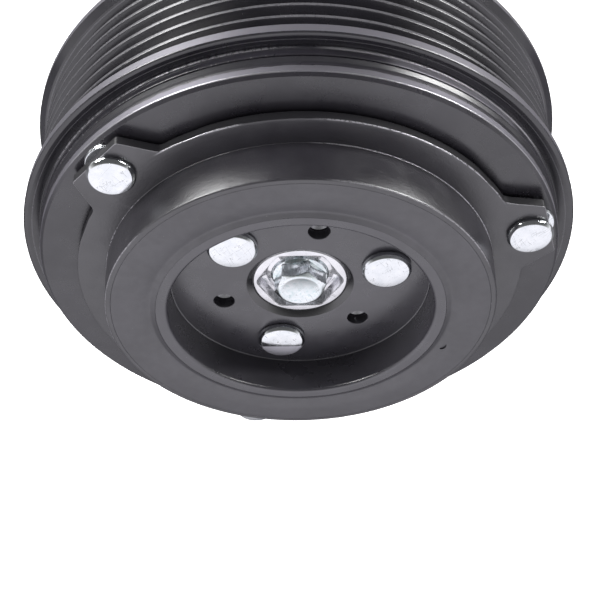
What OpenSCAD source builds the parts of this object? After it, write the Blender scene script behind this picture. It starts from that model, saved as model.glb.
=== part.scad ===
// Electromagnetic clutch for a belt-driven compressor, with a rubber-damped hub.
// Every module draws its piece about the Z axis, with Z measured forward from the
// mounting plane. upright() then lays the shaft axis along Y, so the front faces -Y,
// +Z is up, and the origin is on the shaft axis in the mounting plane.

/* [Pulley] */
// Outside radius of the pulley flanges
pulley_r = 60; // [58:0.5:62]
// Radius of the crests between the belt grooves
rib_crest_r = 58.1; // [57.6:0.1:58.4]
// Number of belt grooves
groove_count = 7; // [5:1:7]
// Spacing of the belt grooves
groove_pitch = 3.56; // [3.56:0.01:3.6]
// Depth of a belt groove below its crests
groove_depth = 2.9; // [2.4:0.1:3]
// Distance of the pulley's rear face from the mounting plane
pulley_rear_z = 3.8; // [3.6:0.1:4.2]

/* [Rotor] */
// Outside radius of the friction face
friction_r = 56.1; // [55.5:0.1:56.2]
// Distance of the friction face from the mounting plane
friction_z = 36.8; // [36.5:0.1:37.5]
// Thickness of the rotor behind the friction face
friction_t = 5.5; // [4.5:0.1:6]
// Inside radius of the wall around the coil
coil_space_r = 50.4; // [50.2:0.1:50.6]
// Outside radius of the bearing housing
housing_r = 32; // [31.5:0.1:32.2]

/* [Bearing] */
// Bore radius of the bearing
bearing_bore_r = 17.5; // [17.5:0.5:17.5]
// Outside radius of the bearing
bearing_r = 27.5; // [27.5:0.5:27.5]
// Width of the bearing
bearing_w = 20; // [20:1:20]
// Radius of a ball
ball_r = 3.175; // [3:0.005:3.175]
// Balls in each of the two rows
ball_count = 17; // [14:1:18]
// Distance between the two rows of balls
row_spacing = 9.4; // [9.2:0.1:9.6]

/* [Coil] */
// Outside radius of the coil shell
coil_r = 49.9; // [49.5:0.1:50]
// Inside radius of the coil shell
coil_in_r = 33.2; // [32.8:0.1:33.6]
// Distance of the coil shell's open end from the mounting plane
coil_front_z = 28.6; // [26:0.1:29]
// Outside radius of the mounting plate
plate_r = 52; // [51:0.5:54]
// Radius of the bore that seats on the compressor's boss
register_r = 28; // [27.5:0.5:28.5]
// Thickness of the mounting plate
plate_t = 2.6; // [2:0.1:2.8]

/* [Armature] */
// Outside radius of the armature plate
armature_r = 56.25; // [55:0.25:57]
// Thickness of the armature plate
armature_t = 4.5; // [4:0.1:5]
// Air gap between the armature and the rotor when the coil is off
air_gap = 0.45; // [0.3:0.05:0.6]
// Height of the spacer between the armature and the lobed plate
spacer_h = 0.85; // [0.7:0.05:1.3]

/* [Hub] */
// Radius of the lobed plate between its lobes
lobed_r = 47.6; // [46.5:0.1:48.5]
// Thickness of the lobed plate
lobed_t = 2.1; // [1.8:0.1:2.6]
// Distance from the axis to a lobe's straight edge
lobe_reach = 54; // [53.5:0.1:55]
// Outside radius of the collar around the rubber ring
collar_r = 41.5; // [41:0.1:42]
// Wall thickness of the collar
collar_t = 1.5; // [1.3:0.1:1.8]
// Outside radius of the inner cup's wall
cup_r = 30.7; // [30:0.1:31]
// Wall thickness of the inner cup
cup_t = 2.6; // [2:0.1:2.6]
// Distance of the collar's end from the mounting plane
collar_end_z = 54; // [52:0.1:55]
// Radius of the silver boss end
boss_r = 10.2; // [9.8:0.1:10.4]
// Radius from the axis to each rivet of the inner cup
hub_rivet_at = 19.2; // [18.8:0.1:19.4]
// Radius from the axis to each rivet of the armature
lobe_rivet_at = 49.8; // [49.8:0.1:50.5]
// Radius from the axis to each puller hole
puller_at = 17.5; // [17:0.1:18]
// Angle of the first rivet, anticlockwise seen from the front
rivet_angle = 17.2; // [0:0.1:30]

/* [Hidden] */
$fn = 96;

// a cut runs past the faces that it opens by this much
over = 1;
// gap between pieces of one body that touch on the real clutch
seat_gap = 0.02;

// pulley
rotor_wall_r = 52.8;
rim_front_z = 35.2;
rim_step_r = 56.5;
rim_step_z = 34.7;
rim_chamfer = 0.4;
groove_half = 1.34;
groove_slope = tan(20);
groove_bottom_r = rib_crest_r - groove_depth;
groove_bottom_half = groove_half - groove_depth * groove_slope;
flange_bevel_r = 1.3;
flange_bevel_z = 1.5;
flank_run = (pulley_r - flange_bevel_r - groove_bottom_r) * groove_slope;
belt_centre_z = 19.27;
first_groove_z = belt_centre_z + (groove_count - 1) / 2 * groove_pitch;
last_groove_z = belt_centre_z - (groove_count - 1) / 2 * groove_pitch;

// bearing
bearing_rear_z = belt_centre_z - bearing_w / 2;
bearing_front_z = belt_centre_z + bearing_w / 2;
ball_circle_r = (bearing_bore_r + bearing_r) / 2;
race_r = ball_r + 0.025;
inner_land_r = 20.4;
outer_land_r = 24.6;
seal_seat_r = 25.3;
seal_lip_r = 19.9;
seal_seat_depth = 1;
seal_t = 0.7;
cage_half_t = 0.8;
cage_half_w = 4.2;
snap_ring_t = 1.2;
snap_groove_r = 28.6;

// rotor
housing_rear_z = 6.2;
rotor_lip_r = 25.5;
flux_slot_w = 1.8;
flux_slot_arc = 46;
rotor_slots_at = [37.4, 47.2];

// coil
shell_wall = 2;
shell_web = 2.4;
bobbin_t = 1;
bobbin_r = 47;
winding_r = 46.5;
spool_gap = 0.1;
plate_rivet_at = 41;
plate_rivet_r = 2;
locating_pin_at = 40;
locating_pin_r = 2;
pin_seat_r = 2.3;
locating_pin_out = 3.5;
circlip_t = 1.6;

// coil lead, at the bottom of the coil
wire_r = 1.2;
wire_x = 2.2;
wire_at = 45;
wire_bend_r = 3.2;
wire_bend_z = -0.2;
wire_end_at = 57;
notch_w = 12;
notch_at = 41.5;
grommet_back = 1.8;
connector_w = 16;
connector_h = 11;
connector_len = 20;
connector_wall = 1.6;
socket_floor = 6;
terminal_w = 2.8;
terminal_t = 0.8;

// armature
armature_z = friction_z + air_gap;
armature_front_z = armature_z + armature_t;
armature_in_r = 27;
armature_slot_at = 42.1;
countersink_r = 4.4;
rivet_shank_r = 3;

// hub
lobed_z = armature_front_z + spacer_h;
lobed_front_z = lobed_z + lobed_t;
lobe_root_angle = 13;
lobe_corner_angle = 7.5;
lobe_step = 120;
floor_z = lobed_front_z + 0.8;
floor_t = 2.5;
cup_lip_z = collar_end_z + 0.05;
cup_in_r = cup_r - cup_t;
cup_hole_r = boss_r + 0.05;
cup_chamfer = 1.4;
puller_r = 2.2;
head_h = 1.9;
hub_head_r = 5.3;
lobe_head_r = 4.85;
lobe_head_h = 1.6;
spacer_r = 5.5;
flange_r = 24.3;
flange_t = 3;
flange_z = floor_z - floor_t - seat_gap - flange_t;
rear_head_r = 4.6;
rear_head_h = 1.7;
boss_body_r = 12;
boss_rear_z = 30;
boss_end_z = floor_z - 1;
pocket_r = 9.3;
pocket_z = boss_end_z - 3.1;
web_z = pocket_z - 3;
bolt_hole_r = 3.3;
spline_r = 6.9;
spline_depth = 0.8;
spline_count = 22;
bolt_r = 3;
bolt_neck_r = 2.65;
thread_len = 7.8;
bolt_flange_r = 6.2;
bolt_flange_h = 1.1;
bolt_hex_r = 10 / sqrt(3);
bolt_hex_turn = 12;
bolt_top_z = pocket_z + 5.7;
bolt_len = 12;
shim_thicknesses = [0.1, 0.2, 0.3];
rubber_back_z = lobed_front_z + 1.2;

// ---------- shared shapes ----------

// Lays the shaft axis along Y with the front facing -Y
module upright() {
    rotate([90, 0, 0]) children();
}

// Points of an arc, from angle a to angle b
function arc(centre, r, a, b, steps = 5) =
    [for (i = [0:steps]) centre + r * [cos(a + (b - a) * i / steps), sin(a + (b - a) * i / steps)]];

// Points that round the corner b between a and c
function rounded(a, b, c, steps = 5) =
    [for (i = [0:steps]) let (t = i / steps) (1 - t) * (1 - t) * a + 2 * t * (1 - t) * b + t * t * c];

// Ring with square edges
module ring(r_out, r_in, z, h) {
    rotate_extrude() translate([r_in, z]) square([r_out - r_in, h]);
}

// Solid turned from an outline of [radius, z] points
module turned(outline) {
    rotate_extrude() polygon(outline);
}

// Copies around the shaft axis, the first one at angle first
module around(count, first = 0) {
    for (i = [0:count - 1]) rotate(first + i * 360 / count) children();
}

// Arc-shaped slot centred on the X axis
module arc_slot(r, w, sweep, z, h) {
    rotate(-sweep / 2) rotate_extrude(angle = sweep) translate([r - w / 2, z]) square([w, h]);
}

// Rivet head with a bevelled rim, standing on the plane z
module rivet_head(r, z, h) {
    bevel = 0.35;
    translate([0, 0, z]) cylinder(r = r, h = h - bevel);
    translate([0, 0, z + h - bevel]) cylinder(r1 = r, r2 = r - bevel, h = bevel);
}

// Open retaining ring with two pierced ears that point to the side ear_side (1 out, -1 in)
module circlip(r_out, r_in, z, t, ear_side) {
    opening = 24;
    ear_r = 1.7;
    ear_hole_r = 0.8;
    ear_in = opening / 2 + 2.5;
    ear_at = ear_side > 0 ? r_out + ear_r * 0.55 : r_in - ear_r * 0.55;
    difference() {
        union() {
            rotate(opening / 2) rotate_extrude(angle = 360 - opening) translate([r_in, z])
                square([r_out - r_in, t]);
            for (s = [-1, 1]) rotate(s * ear_in) translate([ear_at, 0, z])
                cylinder(r = ear_r, h = t);
        }
        for (s = [-1, 1]) rotate(s * ear_in) translate([ear_at, 0, z - over])
            cylinder(r = ear_hole_r, h = t + 2 * over);
    }
}

// Upright block with rounded vertical edges, centred on the Z axis
module rounded_block(x, y, h, r) {
    translate([-x / 2 + r, -y / 2, 0]) cube([x - 2 * r, y, h]);
    translate([-x / 2, -y / 2 + r, 0]) cube([x, y - 2 * r, h]);
    for (sx = [-1, 1], sy = [-1, 1])
        translate([sx * (x / 2 - r), sy * (y / 2 - r), 0]) cylinder(r = r, h = h, $fn = 32);
}

// ---------- field coil, fixed to the compressor ----------

module coil_mounting_plate() {
    color("dimgray") upright() difference() {
        ring(plate_r, register_r, 0, plate_t);
        around(4, 45) translate([plate_rivet_at, 0, -over])
            cylinder(r = plate_rivet_r, h = plate_t + 2 * over);
        translate([0, locating_pin_at, -over]) cylinder(r = pin_seat_r, h = plate_t + 2 * over);
        translate([-notch_w / 2, -plate_r - over, -over])
            cube([notch_w, plate_r + over - notch_at, plate_t + 2 * over]);
    }
}

module coil_shell() {
    color("dimgray") upright() difference() {
        ring(coil_r, coil_in_r, plate_t, coil_front_z - plate_t);
        ring(coil_r - shell_wall, coil_in_r + shell_wall, plate_t + shell_web, coil_front_z);
        around(4, 45) translate([plate_rivet_at, 0, 0])
            cylinder(r = plate_rivet_r, h = plate_t + shell_web + over);
        lead_opening(plate_t - over, shell_web + 2 * over);
    }
}

// Opening that both wires pass through
module lead_opening(z, h) {
    translate([0, -wire_at, z]) rounded_block(2 * wire_x + 4, 4, h, 1.2);
}

module coil_plate_rivets() {
    color("silver") upright() around(4, 45) translate([plate_rivet_at, 0, 0.05])
        cylinder(r = plate_rivet_r - seat_gap, h = plate_t + shell_web - 0.05);
}

module coil_bobbin() {
    spool_in = coil_in_r + shell_wall + spool_gap;
    back_z = plate_t + shell_web + spool_gap;
    front_z = coil_front_z - 2.3;
    color("ivory") upright() difference() {
        turned([
            [spool_in, back_z], [bobbin_r, back_z], [bobbin_r, back_z + bobbin_t],
            [spool_in + bobbin_t, back_z + bobbin_t], [spool_in + bobbin_t, front_z],
            [bobbin_r, front_z], [bobbin_r, front_z + bobbin_t], [spool_in, front_z + bobbin_t]
        ]);
        lead_opening(back_z - over, bobbin_t + over + 0.5 * spool_gap);
    }
}

module coil_winding() {
    inner = coil_in_r + shell_wall + bobbin_t + 2 * spool_gap;
    back_z = plate_t + shell_web + bobbin_t + 2 * spool_gap;
    color("peru") upright() ring(winding_r, inner, back_z, coil_front_z - 2.3 - spool_gap - back_z);
}

module coil_potting() {
    back_z = coil_front_z - 2.3 + bobbin_t + spool_gap;
    color("black") upright() ring(coil_r - shell_wall - seat_gap, coil_in_r + shell_wall + seat_gap,
        back_z, coil_front_z - 0.2 - back_z);
}

module coil_lead_wires() {
    start_z = plate_t + shell_web + bobbin_t + spool_gap;
    run = wire_end_at - wire_at - wire_bend_r;
    color("black") upright() for (x = [-wire_x, wire_x]) translate([x, -wire_at, wire_bend_z]) {
        cylinder(r = wire_r, h = start_z - wire_bend_z, $fn = 32);
        translate([0, -wire_bend_r, 0]) rotate([0, 90, 0])
            rotate_extrude(angle = 90, $fn = 32) translate([wire_bend_r, 0]) circle(r = wire_r, $fn = 32);
        translate([0, -wire_bend_r, -wire_bend_r]) rotate([90, 0, 0])
            cylinder(r = wire_r, h = run, $fn = 32);
    }
}

module lead_grommet() {
    depth = 6.4;
    color("black") upright() difference() {
        translate([0, -wire_at, -grommet_back])
            rounded_block(notch_w - 0.2, depth, grommet_back + plate_t - seat_gap, 1.5);
        for (x = [-wire_x, wire_x]) translate([x, -wire_at, -grommet_back - over])
            cylinder(r = wire_r + seat_gap, h = grommet_back + plate_t + 2 * over, $fn = 32);
        lead_bend_relief();
    }
}

// Room in the grommet for the bend of both wires
module lead_bend_relief() {
    translate([-wire_x - wire_r - 0.2, -wire_at - 10, -grommet_back - over])
        cube([2 * (wire_x + wire_r + 0.2), 10, grommet_back + over]);
}

module connector_housing() {
    z_mid = wire_bend_z - wire_bend_r;
    socket_w = connector_w - 2 * connector_wall;
    socket_h = connector_h - 2 * connector_wall;
    color("dimgray") upright() translate([0, -wire_end_at, z_mid]) rotate([90, 0, 0]) difference() {
        rounded_block(connector_w, connector_h, connector_len, 2);
        translate([0, 0, socket_floor]) rounded_block(socket_w, socket_h, connector_len, 1);
        for (x = [-wire_x, wire_x]) translate([x, 0, -over])
            cylinder(r = terminal_w / 2 + seat_gap, h = socket_floor + 2 * over, $fn = 32);
    }
}

module connector_terminals() {
    z_mid = wire_bend_z - wire_bend_r;
    blade_len = 15;
    blade_w = terminal_w - 0.2;
    color("goldenrod") upright() for (x = [-wire_x, wire_x])
        translate([x, -wire_end_at - seat_gap, z_mid]) rotate([90, 0, 0]) {
            cylinder(r = terminal_w / 2, h = socket_floor, $fn = 32);
            translate([-blade_w / 2, -terminal_t / 2, socket_floor - 1])
                cube([blade_w, terminal_t, blade_len - socket_floor + 1]);
        }
}

module coil_locating_pin() {
    color("silver") upright() translate([0, locating_pin_at, -locating_pin_out]) {
        cylinder(r1 = locating_pin_r - 0.5, r2 = locating_pin_r, h = 0.5);
        translate([0, 0, 0.5]) cylinder(r = locating_pin_r, h = locating_pin_out);
        translate([0, 0, locating_pin_out + seat_gap])
            cylinder(r = pin_seat_r - seat_gap, h = plate_t - 2 * seat_gap);
    }
}

module coil_snap_ring() {
    color("dimgray") upright() rotate(90) circlip(30.2, register_r - 1.1, plate_t + 0.05, circlip_t, 1);
}

// ---------- bearing ----------

// Ball track around the axis, for the row on side s of the belt's centre plane
module ball_track(s) {
    rotate_extrude() translate([ball_circle_r, belt_centre_z + s * row_spacing / 2])
        circle(r = race_r);
}

module bearing_inner_ring() {
    bevel = 0.5;
    color("silver") upright() difference() {
        turned([
            [bearing_bore_r, bearing_rear_z + bevel], [bearing_bore_r + bevel, bearing_rear_z],
            [seal_lip_r, bearing_rear_z], [seal_lip_r, bearing_rear_z + seal_seat_depth],
            [inner_land_r, bearing_rear_z + seal_seat_depth],
            [inner_land_r, bearing_front_z - seal_seat_depth],
            [seal_lip_r, bearing_front_z - seal_seat_depth], [seal_lip_r, bearing_front_z],
            [bearing_bore_r + bevel, bearing_front_z], [bearing_bore_r, bearing_front_z - bevel]
        ]);
        ball_track(-1);
        ball_track(1);
    }
}

module bearing_outer_ring() {
    bevel = 0.5;
    rim_r = bearing_r - seat_gap;
    color("silver") upright() difference() {
        turned([
            [seal_seat_r, bearing_rear_z], [rim_r - bevel, bearing_rear_z],
            [rim_r, bearing_rear_z + bevel], [rim_r, bearing_front_z - bevel],
            [rim_r - bevel, bearing_front_z], [seal_seat_r, bearing_front_z],
            [seal_seat_r, bearing_front_z - seal_seat_depth],
            [outer_land_r, bearing_front_z - seal_seat_depth],
            [outer_land_r, bearing_rear_z + seal_seat_depth],
            [seal_seat_r, bearing_rear_z + seal_seat_depth]
        ]);
        ball_track(-1);
        ball_track(1);
    }
}

// Shield ring with a shallow pressed channel, facing side s
module bearing_seal(s) {
    face_z = s > 0 ? bearing_front_z : bearing_rear_z;
    translate([0, 0, face_z]) mirror([0, 0, s > 0 ? 1 : 0]) turned([
        [seal_lip_r + 0.05, 0.15], [21, 0.15], [21.4, 0.3], [24.2, 0.3], [24.6, 0.1],
        [seal_seat_r - seat_gap, 0.1], [seal_seat_r - seat_gap, 0.1 + seal_t],
        [24.6, 0.1 + seal_t], [24.2, 0.2 + seal_t], [seal_lip_r + 0.05, 0.2 + seal_t]
    ]);
}

module bearing_front_seal() {
    color("black") upright() bearing_seal(1);
}

module bearing_rear_seal() {
    color("black") upright() bearing_seal(-1);
}

module bearing_balls() {
    color("lightgray") upright() for (s = [-1, 1])
        around(ball_count, 180 / ball_count)
            translate([ball_circle_r, 0, belt_centre_z + s * row_spacing / 2]) sphere(r = ball_r, $fn = 48);
}

module bearing_cages() {
    window_arc = 2 * asin((ball_r + 0.15) / ball_circle_r);
    window_h = 2 * ball_r + 0.2;
    color("burlywood") upright() for (s = [-1, 1]) difference() {
        ring(ball_circle_r + cage_half_t, ball_circle_r - cage_half_t,
            belt_centre_z + s * row_spacing / 2 - cage_half_w, 2 * cage_half_w);
        around(ball_count, 180 / ball_count)
            arc_slot(ball_circle_r, 4 * cage_half_t, window_arc,
                belt_centre_z + s * row_spacing / 2 - window_h / 2, window_h);
    }
}

module bearing_snap_ring() {
    ring_z = bearing_rear_z - snap_ring_t - 0.05;
    color("dimgray") upright() rotate(90)
        circlip(snap_groove_r - 0.1, bearing_r - 1.9, ring_z, snap_ring_t, -1);
}

module rotor_retaining_ring() {
    color("dimgray") upright() rotate(90)
        circlip(20.4, bearing_bore_r - 0.8, bearing_front_z + 0.05, circlip_t, 1);
}

// ---------- pulley and rotor ----------

// Outline of the belt grooves, from the rear flange to the front flange
function groove_outline() = concat(
    [[pulley_r, last_groove_z - groove_bottom_half - flank_run - flange_bevel_z],
        [pulley_r - flange_bevel_r, last_groove_z - groove_bottom_half - flank_run]],
    [for (i = [0:groove_count - 1]) let (z = last_groove_z + i * groove_pitch) each concat(
        i == 0 ? [] : [[rib_crest_r, z - groove_half]],
        [[groove_bottom_r, z - groove_bottom_half], [groove_bottom_r, z + groove_bottom_half]],
        i == groove_count - 1 ? [] : [[rib_crest_r, z + groove_half]]
    )],
    [[pulley_r - flange_bevel_r, first_groove_z + groove_bottom_half + flank_run],
        [pulley_r, first_groove_z + groove_bottom_half + flank_run + flange_bevel_z]]
);

module pulley_rim() {
    color("#2b2a2e") upright() turned(concat(
        [[rotor_wall_r, pulley_rear_z], [pulley_r - rim_chamfer, pulley_rear_z],
            [pulley_r, pulley_rear_z + rim_chamfer]],
        groove_outline(),
        [[pulley_r, rim_front_z - rim_chamfer], [pulley_r - rim_chamfer, rim_front_z],
            [rim_step_r, rim_step_z], [rotor_wall_r, rim_step_z]]
    ));
}

module rotor_body() {
    wall_r = rotor_wall_r - seat_gap;
    space_z = friction_z - friction_t;
    snap_z = bearing_rear_z - snap_ring_t - 0.1;
    color("#2b2a2e") upright() difference() {
        turned([
            [rotor_lip_r, bearing_front_z + seat_gap], [rotor_lip_r, friction_z - 0.3],
            [rotor_lip_r + 0.3, friction_z], [friction_r - 0.3, friction_z],
            [friction_r, friction_z - 0.3], [friction_r, rim_step_z + seat_gap],
            [wall_r, rim_step_z + seat_gap], [wall_r, pulley_rear_z], [coil_space_r, pulley_rear_z],
            [coil_space_r, space_z], [housing_r, space_z], [housing_r, housing_rear_z],
            [bearing_r + 0.4, housing_rear_z], [bearing_r, housing_rear_z + 0.4], [bearing_r, snap_z],
            [snap_groove_r, snap_z], [snap_groove_r, bearing_rear_z], [bearing_r, bearing_rear_z],
            [bearing_r, bearing_front_z + seat_gap]
        ]);
        for (k = [0, 1]) around(6, k * 30)
            arc_slot(rotor_slots_at[k], flux_slot_w, flux_slot_arc, space_z - over, friction_t + 2 * over);
    }
}

// ---------- armature, which the coil pulls back ----------

module armature_plate() {
    bevel = 0.3;
    color("#3a393e") upright() difference() {
        turned([
            [armature_in_r, armature_z], [armature_r - bevel, armature_z],
            [armature_r, armature_z + bevel], [armature_r, armature_front_z - bevel],
            [armature_r - bevel, armature_front_z], [armature_in_r, armature_front_z]
        ]);
        around(6) arc_slot(armature_slot_at, flux_slot_w, flux_slot_arc, armature_z - over,
            armature_t + 2 * over);
        around(3, rivet_angle) translate([lobe_rivet_at, 0, 0]) rivet_hole();
    }
}

// Countersunk hole through the armature
module rivet_hole() {
    sink = countersink_r - rivet_shank_r;
    translate([0, 0, armature_z - over])
        cylinder(r = rivet_shank_r + seat_gap, h = armature_t + 2 * over);
    translate([0, 0, armature_z - over]) cylinder(r = countersink_r + seat_gap, h = over + 0.1);
    translate([0, 0, armature_z + 0.1])
        cylinder(r1 = countersink_r + seat_gap, r2 = rivet_shank_r + seat_gap, h = sink);
}

module armature_rivets() {
    sink = countersink_r - rivet_shank_r;
    color("gainsboro") upright() around(3, rivet_angle) translate([lobe_rivet_at, 0, 0]) {
        rivet_head(lobe_head_r, lobed_front_z, lobe_head_h);
        translate([0, 0, armature_z + 0.1]) cylinder(r = rivet_shank_r, h = lobed_front_z - armature_z);
        translate([0, 0, armature_front_z + 0.01]) cylinder(r = spacer_r, h = spacer_h - 0.02);
        translate([0, 0, armature_z + 0.1]) cylinder(r1 = countersink_r, r2 = rivet_shank_r, h = sink);
    }
}

// Half of a lobe's outline, anticlockwise side, on a lobe centred on the X axis
function half_lobe() =
    let (root = lobed_r * [cos(lobe_root_angle), sin(lobe_root_angle)])
    let (corner = lobe_reach * [1, tan(lobe_corner_angle)])
    let (side = (corner - root) / norm(corner - root))
    let (before_root = lobed_r * [cos(lobe_root_angle + 3), sin(lobe_root_angle + 3)])
    concat(
        rounded(corner - [0, 1.2], corner, corner - 1.2 * side),
        rounded(root + 2 * side, root, before_root)
    );

// Mirror of a list of points about the X axis, in reverse order
function mirrored(points) = [for (i = [len(points) - 1:-1:0]) [points[i][0], -points[i][1]]];

module lobed_plate() {
    collar_in_r = collar_r - collar_t;
    bend_r = 2.4;
    overlap_r = 44;
    color("#2b2a2e") upright() difference() {
        union() {
            translate([0, 0, lobed_z]) linear_extrude(lobed_t) difference() {
                union() {
                    circle(r = lobed_r);
                    around(3, rivet_angle) polygon(concat(mirrored(half_lobe()), half_lobe(), [[30, 0]]));
                }
                circle(r = overlap_r - 1);
            }
            turned(concat(
                [[overlap_r, lobed_front_z], [overlap_r, lobed_z]],
                arc([collar_in_r + bend_r, lobed_z + bend_r], bend_r, 270, 180),
                [[collar_in_r, collar_end_z - 0.3], [collar_in_r + 0.3, collar_end_z]],
                arc([collar_r - 0.5, collar_end_z - 0.5], 0.5, 90, 0),
                arc([collar_r + 0.5, lobed_front_z + 0.5], 0.5, 180, 270)
            ));
        }
        around(3, rivet_angle) translate([lobe_rivet_at, 0, lobed_z - over])
            cylinder(r = rivet_shank_r + seat_gap, h = lobed_t + 2 * over);
    }
}

module damper_rubber() {
    gap = 0.02;
    inner = cup_r + gap;
    outer = collar_r - collar_t - gap;
    front_z = collar_end_z - 0.02;
    bevel = 0.2;
    color("#242326") upright() turned([
        [inner, rubber_back_z], [outer, rubber_back_z], [outer, front_z - bevel],
        [outer - bevel, front_z], [inner + bevel, front_z], [inner, front_z - bevel]
    ]);
}

// ---------- hub, fixed to the shaft ----------

module inner_cup() {
    lip_r = cup_t / 2;
    back_r = 2.6;
    floor_back_z = floor_z - floor_t;
    color("#2b2a2e") upright() difference() {
        turned(concat(
            [[cup_hole_r, floor_back_z]],
            arc([cup_r - back_r, floor_back_z + back_r], back_r, 270, 360),
            arc([cup_r - lip_r, cup_lip_z - lip_r], lip_r, 0, 180, 8),
            [[cup_in_r, floor_z + 0.5], [cup_in_r - 0.3, floor_z], [cup_hole_r + cup_chamfer, floor_z],
                [cup_hole_r, floor_z - 1]]
        ));
        around(3, rivet_angle) translate([hub_rivet_at, 0, floor_back_z - over])
            cylinder(r = rivet_shank_r + seat_gap, h = floor_t + 2 * over);
        around(3, rivet_angle + 60) translate([puller_at, 0, floor_back_z - over])
            cylinder(r = puller_r, h = floor_t + 2 * over);
    }
}

module hub_rivets() {
    color("gainsboro") upright() around(3, rivet_angle) translate([hub_rivet_at, 0, 0]) {
        rivet_head(hub_head_r, floor_z, head_h);
        translate([0, 0, flange_z]) cylinder(r = rivet_shank_r, h = floor_z - flange_z);
        translate([0, 0, flange_z - rear_head_h]) cylinder(r1 = rear_head_r - 0.6, r2 = rear_head_r, h = 0.6);
        translate([0, 0, flange_z - rear_head_h + 0.6]) cylinder(r = rear_head_r, h = rear_head_h - 0.6);
    }
}

module hub_boss() {
    bevel = 0.3;
    color("silver") upright() difference() {
        turned([
            [0, boss_rear_z], [boss_body_r - 1, boss_rear_z], [boss_body_r, boss_rear_z + 1],
            [boss_body_r, flange_z], [flange_r - bevel, flange_z], [flange_r, flange_z + bevel],
            [flange_r, flange_z + flange_t], [boss_r, flange_z + flange_t],
            [boss_r, boss_end_z - bevel], [boss_r - bevel, boss_end_z], [0, boss_end_z]
        ]);
        translate([0, 0, pocket_z]) intersection() {
            cylinder(r = pocket_r * 1.03, h = boss_end_z - pocket_z + over, $fn = 6);
            cylinder(r = pocket_r, h = boss_end_z - pocket_z + over);
        }
        translate([0, 0, web_z - over]) cylinder(r = bolt_hole_r, h = pocket_z - web_z + 2 * over);
        spline_bore();
        around(3, rivet_angle) translate([hub_rivet_at, 0, flange_z - over])
            cylinder(r = rivet_shank_r + seat_gap, h = flange_t + 2 * over);
        around(3, rivet_angle + 60) translate([puller_at, 0, flange_z - over])
            cylinder(r = puller_r, h = flange_t + 2 * over);
    }
}

// Splined bore, open to the rear
module spline_bore() {
    groove_w = 1.1;
    tip_w = 0.7;
    height = web_z - boss_rear_z + over;
    translate([0, 0, boss_rear_z - over]) {
        cylinder(r = spline_r, h = height);
        around(spline_count) linear_extrude(height) polygon([
            [spline_r - 0.6, -groove_w / 2], [spline_r + spline_depth, -tip_w / 2],
            [spline_r + spline_depth, tip_w / 2], [spline_r - 0.6, groove_w / 2]
        ]);
    }
}

module hub_bolt() {
    hex_chamfer = 0.6;
    hex_h = bolt_top_z - pocket_z;
    seat_z = pocket_z + seat_gap;
    color("gainsboro") upright() translate([0, 0, seat_z]) {
        cylinder(r = bolt_flange_r, h = bolt_flange_h);
        translate([0, 0, bolt_flange_h])
            cylinder(r1 = bolt_flange_r - 0.1, r2 = bolt_hex_r + 0.12, h = 0.5);
        intersection() {
            rotate(bolt_hex_turn) cylinder(r = bolt_hex_r, h = hex_h, $fn = 6);
            union() {
                cylinder(r = bolt_hex_r + 1, h = hex_h - hex_chamfer);
                translate([0, 0, hex_h - hex_chamfer])
                    cylinder(r1 = bolt_hex_r + 0.3, r2 = bolt_hex_r - 1, h = hex_chamfer);
            }
        }
        translate([0, 0, thread_len - bolt_len - 0.1])
            cylinder(r = bolt_neck_r, h = bolt_len - thread_len + 0.2);
        translate([0, 0, 0.6 - bolt_len]) cylinder(r = bolt_r, h = thread_len - 0.6);
        translate([0, 0, -bolt_len]) cylinder(r1 = bolt_r - 0.6, r2 = bolt_r, h = 0.6);
    }
}

// Height of the shim stack in front of shim n
function stack_above(n) = n == 0 ? 0 : shim_thicknesses[n - 1] + seat_gap + stack_above(n - 1);

module air_gap_shims() {
    color("silver") upright() for (n = [0:len(shim_thicknesses) - 1])
        ring(spline_r - 0.3, bolt_r + 0.2, web_z - seat_gap - stack_above(n) - shim_thicknesses[n],
            shim_thicknesses[n]);
}

coil_mounting_plate();
coil_shell();
coil_plate_rivets();
coil_bobbin();
coil_winding();
coil_potting();
coil_lead_wires();
lead_grommet();
connector_housing();
connector_terminals();
coil_locating_pin();
coil_snap_ring();
bearing_inner_ring();
rotor_retaining_ring();
pulley_rim();
rotor_body();
bearing_outer_ring();
bearing_front_seal();
bearing_rear_seal();
bearing_snap_ring();
bearing_balls();
bearing_cages();
hub_boss();
inner_cup();
hub_rivets();
hub_bolt();
air_gap_shims();
damper_rubber();
armature_plate();
lobed_plate();
armature_rivets();
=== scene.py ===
"""Looks of the electromagnetic clutch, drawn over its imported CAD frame.

Shapes are written in millimetres about the shaft axis: x to the right, y up, z forward of the
mounting plane. placed() turns a point into the frame: metres, front facing -Y, +Z up.
"""

import math

import bmesh
import bpy
from mathutils import Matrix, Vector

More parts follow.
